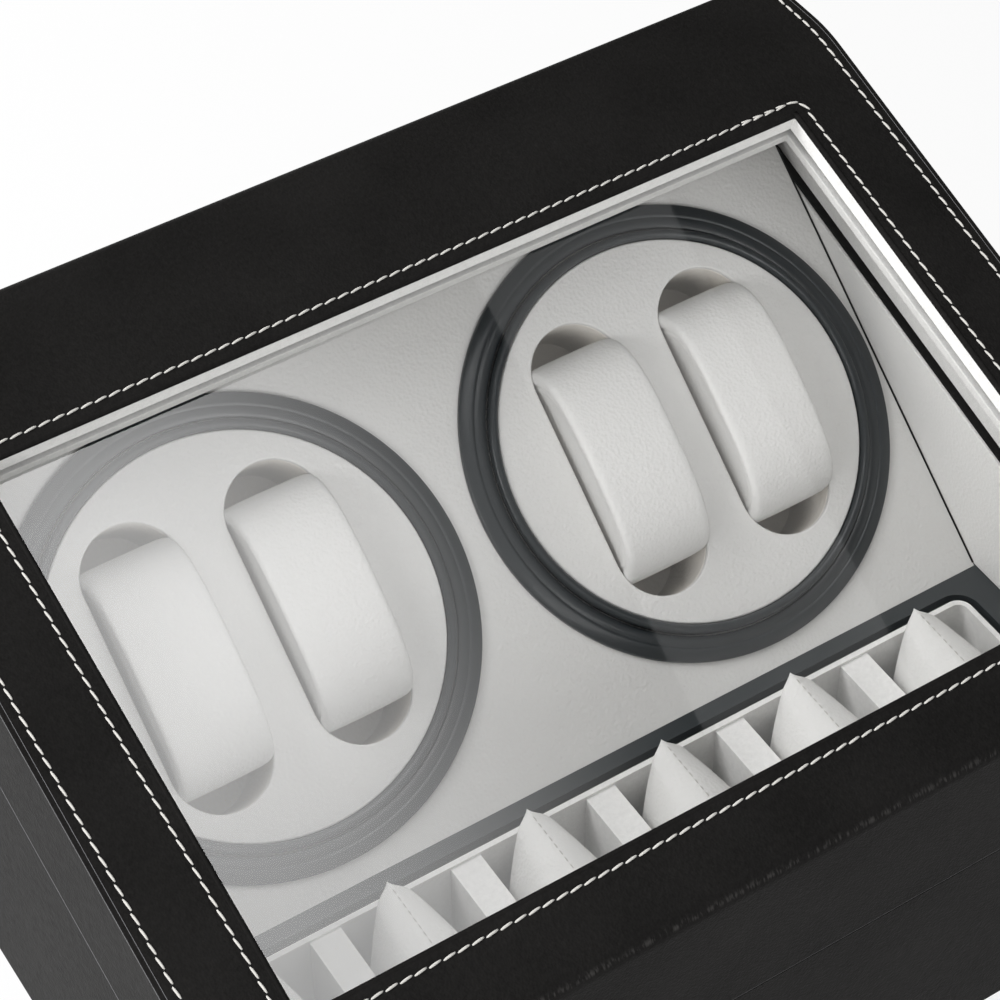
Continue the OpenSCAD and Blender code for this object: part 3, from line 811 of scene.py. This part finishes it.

# %% [markdown]
# ## Stitching
#
# The seams are sewn by machine in thick white thread. Painted dashes would look flat from
# the side, so each stitch is a small thread that rises out of one hole and dives into the
# next. Over each needle hole lies a low black lens, painted shade for the dark of the hole.

# %%
def stitch_mesh(length, radius):
    """One saddle stitch: a thread that rises out of its hole and dives into the next."""
    rings = 9
    sides = 8
    points = []
    for i in range(rings):
        t = i / (rings - 1) * 2 - 1
        lift = (1 - t * t) * radius * 0.75 - radius * 0.25
        fat = radius * (1 - 0.45 * abs(t) ** 3)
        for k in range(sides):
            turn = math.tau * k / sides
            points.append((t * length / 2, fat * math.cos(turn), lift + fat * math.sin(turn)))
    faces = [(i * sides + k, i * sides + (k + 1) % sides,
              (i + 1) * sides + (k + 1) % sides, (i + 1) * sides + k)
             for i in range(rings - 1) for k in range(sides)]
    faces += [tuple(range(sides)), tuple((rings - 1) * sides + k for k in range(sides))]
    return new_mesh("stitch", points, faces)


def dimple_mesh(spacing, radius):
    """A low black lens halfway between two stitches: painted shade for the needle hole."""
    sides = 10
    points = [(spacing / 2, 0, 0.12 * radius)]
    points += [(spacing / 2 + radius * 1.3 * math.cos(math.tau * k / sides),
                radius * math.sin(math.tau * k / sides), 0.02 * mm) for k in range(sides)]
    points += [(x, y, -0.3 * mm) for x, y, z in points[1:]]
    faces = [(0, 1 + k, 1 + (k + 1) % sides) for k in range(sides)]
    faces += [(1 + k, 1 + sides + k, 1 + sides + (k + 1) % sides, 1 + (k + 1) % sides) for k in range(sides)]
    faces += [tuple(1 + sides + k for k in range(sides))]
    return new_mesh("dimple", points, faces)


# %% [markdown]
# A loop in Python could place every stitch. A geometry-nodes tree does it in fewer words:
# it walks along a path, turns a copy to the path and the surface at each step, and leans
# it a little, as a saddle stitch leans. The path, the pitch and the slant are its inputs.


# %%
def stitch_group(pitch, up, model, finish_paint, slant):
    """Geometry nodes: stitches along a curve, each turned to it and flat on its surface."""
    group = bpy.data.node_groups.new("stitch line", "GeometryNodeTree")
    group.interface.new_socket("Path", in_out="INPUT", socket_type="NodeSocketGeometry")
    group.interface.new_socket("Pitch", in_out="INPUT", socket_type="NodeSocketFloat").default_value = pitch
    group.interface.new_socket("Slant", in_out="INPUT", socket_type="NodeSocketFloat").default_value = slant
    group.interface.new_socket("Stitches", in_out="OUTPUT", socket_type="NodeSocketGeometry")
    add = group.nodes.new
    link = group.links.new
    inlet = add("NodeGroupInput")
    outlet = add("NodeGroupOutput")
    walk = add("GeometryNodeResampleCurve")
    walk.mode = "LENGTH"
    link(inlet.outputs["Path"], walk.inputs["Curve"])
    link(inlet.outputs["Pitch"], walk.inputs["Length"])
    spots = add("GeometryNodeCurveToPoints")
    spots.mode = "EVALUATED"
    link(walk.outputs["Curve"], spots.inputs["Curve"])
    stand = add("FunctionNodeAlignRotationToVector")
    stand.axis = "Z"
    stand.inputs["Vector"].default_value = up
    turn = add("FunctionNodeAlignRotationToVector")
    turn.axis = "X"
    turn.pivot_axis = "Z"
    link(stand.outputs["Rotation"], turn.inputs["Rotation"])
    link(spots.outputs["Tangent"], turn.inputs["Vector"])
    tilt = add("FunctionNodeRotateRotation")
    tilt.rotation_space = "LOCAL"
    lean = add("FunctionNodeAxisAngleToRotation")
    link(inlet.outputs["Slant"], lean.inputs["Angle"])
    link(turn.outputs["Rotation"], tilt.inputs["Rotation"])
    link(lean.outputs["Rotation"], tilt.inputs["Rotate By"])
    place = add("GeometryNodeInstanceOnPoints")
    link(spots.outputs["Points"], place.inputs["Points"])
    link(tilt.outputs["Rotation"], place.inputs["Rotation"])
    pattern = add("GeometryNodeObjectInfo")
    pattern.inputs["Object"].default_value = model
    link(pattern.outputs["Geometry"], place.inputs["Instance"])
    real = add("GeometryNodeRealizeInstances")
    link(place.outputs["Instances"], real.inputs["Geometry"])
    paint = add("GeometryNodeSetMaterial")
    paint.inputs["Material"].default_value = finish_paint
    link(real.outputs["Geometry"], paint.inputs["Geometry"])
    link(paint.outputs["Geometry"], outlet.inputs["Stitches"])
    return group


def path_object(name, points, closed):
    """A curve object through the points, for the tree to walk along."""
    curve = bpy.data.curves.new(name, "CURVE")
    curve.dimensions = "3D"
    line = curve.splines.new("POLY")
    line.points.add(len(points) - 1)
    line.points.foreach_set("co", [c for p in points for c in (*p, 1)])
    line.use_cyclic_u = closed
    thing = bpy.data.objects.new(name, curve)
    bpy.context.collection.objects.link(thing)
    return thing


def repeat_along(name, points, up, closed, pitch, model, slot, slant=0.0):
    """One plain mesh of copies of a model along a path."""
    path = path_object(name, points, closed)
    path.modifiers.new("repeats", "NODES").node_group = stitch_group(pitch, up, model, finish[slot], slant)
    view = bpy.context.evaluated_depsgraph_get()
    mesh = bpy.data.meshes.new_from_object(path.evaluated_get(view))
    bpy.data.objects.remove(path)
    bpy.data.objects.remove(model)
    thing = bpy.data.objects.new(name, mesh)
    bpy.context.collection.objects.link(thing)
    mesh.polygons.foreach_set("use_smooth", [True] * len(mesh.polygons))
    return thing


# %% [markdown]
# The seam round the window keeps a few millimetres from its edge, with rounded corners. At
# the rear right corner four stitches go over the first ones, where the thread was tied off.

# %%
stitch_pitch = 4.0 * mm
stitch_length = 3.55 * mm
thread_radius = 0.34 * mm
hole_radius = 0.42 * mm
stitch_slant = 0.13
corner = 2.5 * mm
lid_up = lid_frame.to_3x3() @ Vector((0, 0, 1))


def sew(name, points, closed=False):
    """A seam in the lid's leather: thread, and black lenses of painted shade at the needle holes."""
    stitch = stitch_mesh(stitch_length, thread_radius)
    thread = repeat_along(name, points, lid_up, closed, stitch_pitch, stitch, "thread", stitch_slant)
    settle(thread, "lid", "thread")
    # the black lenses are painted shade in the needle holes
    dimple = dimple_mesh(stitch_pitch, hole_radius)
    holes = repeat_along(name + "_holes", points, lid_up, closed, stitch_pitch, dimple, "hole")
    settle(holes, "lid", "hole")


def on_lid(x, s, lift=0.0):
    """A place across and up the lid's slope, measured from the window's lower edge."""
    return lid_frame @ Vector((x, s, lift))


def rounded_rectangle(half, low, high, radius, steps=6):
    """Points of a rectangle with rounded corners, in the lid's own plane."""
    points = []
    for cx, cy, start in ((half, high, 0), (-half, high, 90), (-half, low, 180), (half, low, 270)):
        inner = (math.copysign(abs(cx) - radius, cx), cy - radius if cy == high else cy + radius)
        points += arc(inner, radius, start, start + 90, steps)
    return points


window_line = [on_lid(x, s) for x, s in rounded_rectangle(
    window_half + window_in, -window_in, window_length + window_in, corner)]
sew("window_stitching", window_line, closed=True)
tack_s = window_length + window_in + 0.35 * mm
tack_line = [on_lid(x * mm + window_half, tack_s) for x in (-2.5, -6.5, -10.5, -14.5)]
tack_stitch = stitch_mesh(3.2 * mm, 0.3 * mm)
tack = repeat_along("back_tack", tack_line, lid_up, False, stitch_pitch, tack_stitch, "thread", -0.15)
settle(tack, "lid", "thread")
print("window seam", round((window_half + window_in) * 2 / mm, 1), "mm wide")

# %% [markdown]
# The leather is turned in over the window's edge, where it makes a round roll. Rounding the
# board's edge that far would eat into the seam, so the roll is a bead swept along the edge.

# %%
def sweep(name, path, radius, up, sides=10, closed=True):
    """A round bead along a path of points, kept square to an up direction."""
    count = len(path)
    points = []
    for i, place in enumerate(path):
        ahead = path[(i + 1) % count] if closed or i + 1 < count else path[i]
        behind = path[i - 1] if closed or i > 0 else path[i]
        forward = (ahead - behind).normalized()
        across = forward.cross(up).normalized()
        over = across.cross(forward)
        for k in range(sides):
            turn = math.tau * k / sides
            points.append(place + (across * math.cos(turn) + over * math.sin(turn)) * radius)
    last = count if closed else count - 1
    faces = [(i * sides + k, i * sides + (k + 1) % sides,
              (i + 1) % count * sides + (k + 1) % sides, (i + 1) % count * sides + k)
             for i in range(last) for k in range(sides)]
    if not closed:
        faces += [tuple(range(sides)), tuple((count - 1) * sides + k for k in range(sides))]
    return new_mesh(name, points, faces)


roll_radius = 0.95 * mm
roll_line = [on_lid(x, s, -0.75 * mm) for x, s in rounded_rectangle(
    window_half + 0.55 * mm, -0.55 * mm, window_length + 0.55 * mm, 1.2 * mm)]
settle(sweep("window_roll", roll_line, roll_radius, lid_up), "lid", "leather")
print("roll", round(roll_radius * 2 / mm, 1), "mm thick,", len(roll_line), "places along it")

# %% [markdown]
# Two more seams run from front to rear, near the lid's sides. They follow its profile: up
# the slope, over the bend and along the flat top. The bend is an arc that touches both.

# %%
top_z = lid_high.z
bend_radius = 45 * mm
bend_y = front_y + (top_z - slope_front) / math.tan(lid_slope)
bend_reach = bend_radius * math.tan(lid_slope / 2)


def lid_profile(y_from, y_to, spacing=3 * mm):
    """Points on the lid's outer face along its side profile."""
    points = []
    for y in np.arange(y_from, y_to, spacing):
        start = bend_y - bend_reach * math.cos(lid_slope)
        end = bend_y + bend_reach
        if y <= start:
            z = slope_height(y)
        elif y >= end:
            z = top_z
        else:
            z = top_z - bend_radius + math.sqrt(bend_radius ** 2 - (end - y) ** 2)
        points.append((y, z))
    return points


for side, sign in (("left", -1), ("right", 1)):
    line = [(sign * (half_w - edge_in), y, z) for y, z in lid_profile(front_y + 6 * mm, lid_high.y - 5 * mm)]
    sew(f"edge_stitching_{side}", line)
print("the lid bends", round((lid_high.y - bend_y) / mm, 1), "mm in front of its rear edge")

# %% [markdown]
# The lid's cover is folded over its side boards. The fold is a narrow rounded band between
# two fine pale lines, painted highlights where its edges catch the light, and a pale
# hairline where the lid meets the base is a painted highlight on the joint's edge. Such fine
# lines would be lost in a painted surface, so they are thin beads.

# %%
side_height = slope_front - lid_low.z


def seam_height(y):
    """Height of the joint between lid and base, which runs parallel to the lid's slope."""
    return slope_height(y) - side_height + 0.15 * mm


fold_lines = ((1.3, -0.02, 0.08), (-0.02, 0.7, 0.11))  # inward, down and radius, in mm
# the pale beads along the fold and along the joint are painted highlights
for side, sign in (("left", -1), ("right", 1)):
    for number, (inward, drop, radius) in enumerate(fold_lines):
        path = [Vector((sign * (half_w - inward * mm), y, z - drop * mm))
                for y, z in lid_profile(front_y + 2 * mm, lid_high.y - 2 * mm)]
        settle(sweep(f"fold_line_{side}_{number}", path, radius * mm, lid_up, 6, False), "lid", "edge_highlight")
    hairline = [Vector((sign * (half_w - 0.02 * mm), y, seam_height(y)))
                for y in np.linspace(front_y + 1 * mm, lid_high.y - 1 * mm, 40)]
    settle(sweep(f"seam_line_{side}", hairline, 0.12 * mm, Vector((0, 0, 1)), 6, False), "lid", "edge_highlight")

front_hairline = [Vector((x, front_y + 0.02 * mm, seam_height(front_y)))
                  for x in np.linspace(-half_w + 1 * mm, half_w - 1 * mm, 40)]
settle(sweep("seam_line_front", front_hairline, 0.05 * mm, Vector((0, 0, 1)), 6, False), "lid", "edge_highlight")
print("the lid's side boards are", round(side_height / mm, 1), "mm high at the front")

# %% [markdown]
# The pillows are closed by hand along the top seam, in small stitches of the same thread.
# The seam is where the cloth settled, so its line is measured on the finished pillow.


# %%
def top_seam(number, steps=26, clear=4 * mm):
    """Points on the highest line of a pillow, from its rear ear towards the front."""
    points = np.array([v.co for v in bpy.data.objects[f"soft_pillow_{number}"].data.vertices])
    low, high = points[:, 1].min() + clear, points[:, 1].max() - clear
    seam = []
    for y in np.linspace(high, low, steps):
        near = points[np.abs(points[:, 1] - y) < 1.5 * mm]
        top = near[near[:, 2].argmax()]
        seam.append(Vector((top[0], y, top[2] + 0.05 * mm)))
    return seam


for number in range(1, 7):
    thread = repeat_along(f"pillow_seam_{number}", top_seam(number), Vector((0, 0, 1)), False, 2.6 * mm,
                          stitch_mesh(1.7 * mm, 0.17 * mm), "thread")
    settle(thread, f"pillow_{number}", "thread")
print("six pillow seams of small stitches")

# %% [markdown]
# Where the panel's cover meets the side walls it is tucked down into a crease. The shade
# in it is painted: a thin black bead along each side of the panel's face.

# %%
panel_low, panel_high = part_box("turntable_panel")
panel_frame = table_frame("left")
panel_points = [panel_frame.inverted() @ v.co for v in nodes["turntable_panel"].data.vertices]
face_points = [p for p in panel_points if abs(p.z) < 0.6 * mm]
crease_from = min(p.y for p in face_points) + 1 * mm
crease_to = max(p.y for p in face_points) - 1 * mm
shade_line_radius = 0.32 * mm
middle_x = (panel_frame.inverted() @ Vector((0, 0, 0))).x
# each bead is painted shade along the crease, in the near-black finish
for side, edge_x in (("left", panel_low.x), ("right", panel_high.x)):
    path = [panel_frame @ Vector((edge_x + middle_x, y, 0.05 * mm))
            for y in np.linspace(crease_from, crease_to, 30)]
    bead = sweep(f"panel_crease_{side}", path, shade_line_radius, Vector((0, 0, 1)), 6, False)
    settle(bead, "base", "hole")
print("panel crease", round((crease_to - crease_from) / mm, 1), "mm long")

# %% [markdown]
# ## Light, floor and background
#
# The box stands on a pale floor that a camera, and anything that mirrors it, sees almost
# white. The rest of the floor's colour is lit as usual, so that the shadow stays. Making it
# white with more light would burn out the linings.

# %%
floor_reach = 60.0
floor_white = 0.85


def white_floor():
    mesh = bpy.data.meshes.new("floor")
    mesh.from_pydata([(-floor_reach, -floor_reach, 0), (floor_reach, -floor_reach, 0),
                      (floor_reach, floor_reach, 0), (-floor_reach, floor_reach, 0)], [], [(0, 1, 2, 3)])
    floor = bpy.data.objects.new("floor", mesh)
    bpy.context.collection.objects.link(floor)
    floor.location.z = -0.2 * mm
    paint = Paint("floor", (0.8, 0.8, 0.8), 0.9)
    ray = paint.node("ShaderNodeLightPath", out="Is Camera Ray")
    for other in ("Is Glossy Ray", "Is Transmission Ray"):
        ray = ray.sum("MAXIMUM", paint.node("ShaderNodeLightPath", out=other))
    glow = paint.node("ShaderNodeEmission", Color=(1, 1, 1, 1), Strength=1.0)
    mix = paint.node("ShaderNodeMixShader")
    node = mix.socket.node
    paint.feed(node.inputs[0], ray * floor_white)
    paint.tree.links.new(paint.surface.outputs[0], node.inputs[1])
    paint.feed(node.inputs[2], glow)
    paint.tree.links.new(mix.socket, paint.tree.nodes["Material Output"].inputs["Surface"])
    mesh.materials.append(paint.material)
    floor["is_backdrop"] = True


white_floor()
print("floor", round(2 * floor_reach), "m wide")

# %% [markdown]
# A large diffuser hangs over the box. An area lamp has a hard edge, which would show in the
# pane, so a card is used whose glow fades towards its edges. It is brighter where it is
# mirrored than as a lamp, which lays a haze over the left of the pane and leaves the inside
# unburnt. An upright black card on the right keeps light off that side.


# %%
def stage_card(name, corners, paint):
    """A flat card that lights, mirrors and shades, but doesn't stand in the camera's way."""
    mesh = bpy.data.meshes.new(name)
    mesh.from_pydata(corners, [], [(0, 1, 2, 3)])
    mesh.materials.append(paint.material)
    card = bpy.data.objects.new(name, mesh)
    bpy.context.collection.objects.link(card)
    card.visible_camera = False
    card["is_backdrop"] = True


def softbox(name, centre, size, glow, fade, lit):
    """A card overhead whose light fades out towards its edges, as through a large diffuser.

    What it mirrors in the pane is the bright diffuser itself; lit is the share that reaches the box."""
    half = [v / 2 for v in size]
    paint = Paint(name, (0, 0, 0), 1)
    inside_x = (paint.axis("X") - centre[0]).sum("ABSOLUTE").smooth(half[0], half[0] - fade)
    inside_y = (paint.axis("Y") - centre[1]).sum("ABSOLUTE").smooth(half[1], half[1] - fade)
    mirrored = paint.node("ShaderNodeLightPath", out="Is Glossy Ray")
    level = inside_x * inside_y * (mirrored * (1 - lit) + lit)
    paint.put(Emission_Color=paint.ramp(level, (0, (0, 0, 0)), (1, (1, 1, 1))), Emission_Strength=glow)
    stage_card(name, [(x * half[0] + centre[0], y * half[1] + centre[1], centre[2])
                      for x, y in ((-1, -1), (-1, 1), (1, 1), (1, -1))], paint)


def black_card(name, centre, size):
    """An upright black card beside the object."""
    half = [v / 2 for v in size]
    stage_card(name, [(centre[0], centre[1] + y * half[0], centre[2] + z * half[1])
                      for y, z in ((-1, -1), (1, -1), (1, 1), (-1, 1))], Paint(name, (0.01, 0.01, 0.01), 1.0))


softbox("overhead", centre=(0.0, 0.0, 1.3), size=(0.98, 1.1), glow=3.8, fade=0.36, lit=0.62)
black_card("right_card", centre=(0.5, 0.35, 0.5), size=(1.3, 1.0))
print("two cards hung")

# %% [markdown]
# Three wide lamps and a dim white world fill in the rest. Together they light the box at a
# plain level, where a colour comes out about as it is written.


# %%
def soft_light(name, place, size, power):
    """A wide lamp that points at the middle of the box."""
    light = bpy.data.lights.new(name, "AREA")
    light.shape = "RECTANGLE"
    light.size, light.size_y = size
    light.energy = power
    lamp = bpy.data.objects.new(name, light)
    bpy.context.collection.objects.link(lamp)
    lamp.location = place
    lamp.rotation_euler = ((cad_low + cad_high) / 2 - Vector(place)).to_track_quat("-Z", "Y").to_euler()
    return lamp


soft_light("side", place=(-1.6, -0.35, 0.75), size=(1.3, 0.8), power=18)
back = soft_light("back", place=(-0.95, 0.75, 1.25), size=(1.0, 0.9), power=25)
back.visible_glossy = False  # it would whiten the whole pane when seen from the front right
soft_light("front", place=(-0.1, -1.5, 0.7), size=(1.0, 0.8), power=9)
world = bpy.data.worlds.new("studio")
world.use_nodes = True
sky = world.node_tree.nodes["Background"]
sky.inputs["Color"].default_value = (1, 1, 1, 1)
sky.inputs["Strength"].default_value = 0.42
bpy.context.scene.world = world
bpy.context.scene.view_settings.view_transform = "Standard"
bpy.context.scene.view_settings.look = "None"

# %% [markdown]
# ## Sizes, and the end
#
# The size of the dressed box is written down beside that of the model, to compare them.

# %%
low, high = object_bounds()
print("visual box", [round(v / mm, 1) for v in high - low], "mm")
